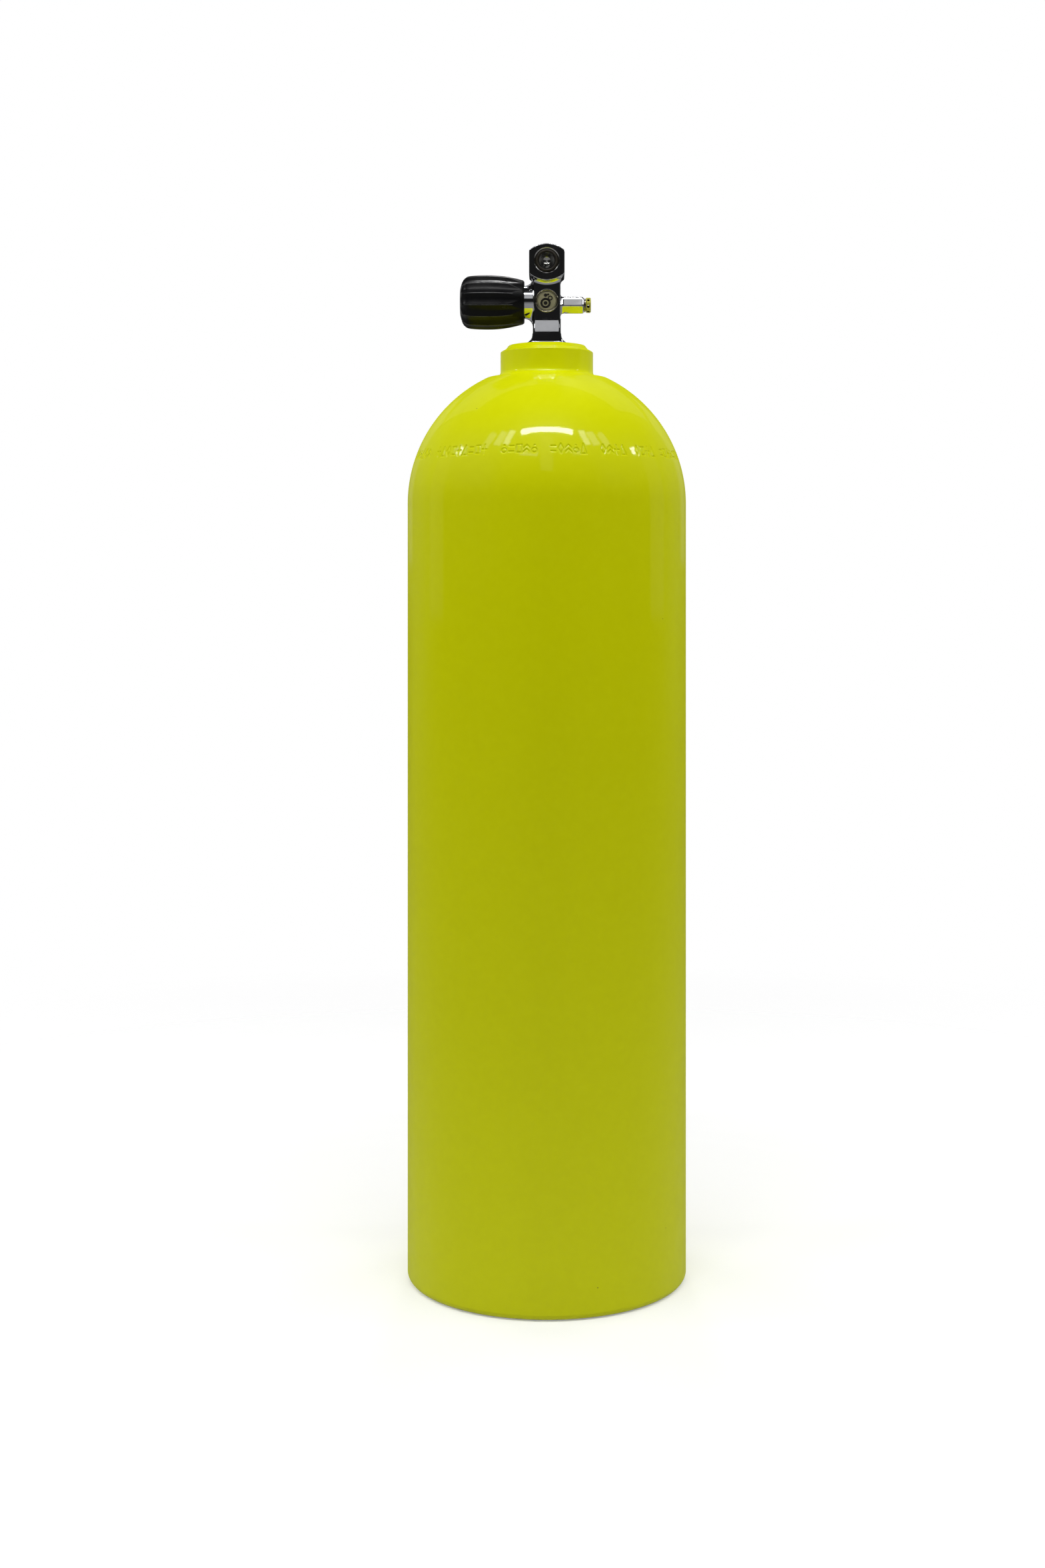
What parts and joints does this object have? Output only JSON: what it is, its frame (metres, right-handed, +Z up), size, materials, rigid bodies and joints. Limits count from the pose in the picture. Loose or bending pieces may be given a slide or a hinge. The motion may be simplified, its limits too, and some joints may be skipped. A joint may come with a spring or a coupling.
{
  "type": "scuba tank",
  "caption": "Bright yellow-green aluminium scuba tank, hemispherical shoulder and flat base, with a chromed yoke valve, black fluted handwheel and brass burst disc plug.",
  "frame": {"origin": "centre of the foot ring, on the plane the tank stands on", "axes": "+Z up along the tank, -Y the way the yoke outlet faces, -X along the handwheel, +X along the burst disc plug"},
  "size_m": [0.2032, 0.2032, 0.7512],
  "materials": {
    "yellow_paint": "gloss",
    "chrome": "polished",
    "brass": "satin",
    "copper": "satin",
    "steel": "satin",
    "black_rubber": "satin",
    "black_plastic": "satin",
    "nylon": "satin",
    "badge_enamel": "satin"
  },
  "bodies": {
    "tank": {"cylinder": "yellow_paint", "valve_body": "chrome", "dip_tube": "black_plastic", "neck_oring": "black_rubber", "yoke_oring": "black_rubber", "badge": "badge_enamel", "bonnet_nut": "brass", "bonnet_gasket": "copper", "thrust_washer": "nylon", "burst_gasket": "copper", "burst_disc": "copper", "burst_washer": "steel", "burst_plug": "brass"},
    "handwheel": {"stem": "brass", "stem_oring": "black_rubber", "handwheel_core": "black_plastic", "handwheel_grip": "black_rubber", "spring_cup": "steel", "handwheel_spring": "steel", "handwheel_nut": "brass"},
    "seat": {"seat_plug": "brass", "seat_disc": "nylon"}
  },
  "joints": [
    {"name": "handwheel_turn", "type": "hinge", "parent": "tank", "child": "handwheel", "pos_m": [-0.04, 0, 0.7104], "axis": [-1, 0, 0], "range_deg": [0, 810]},
    {"name": "seat_travel", "type": "slide", "parent": "handwheel", "child": "seat", "axis": [-1, 0, 0], "range_m": [0, 0.00286]}
  ],
  "couplings": [
    {"joint": "seat_travel", "follows": "handwheel_turn", "m_per_rad": 0.00020213}
  ]
}
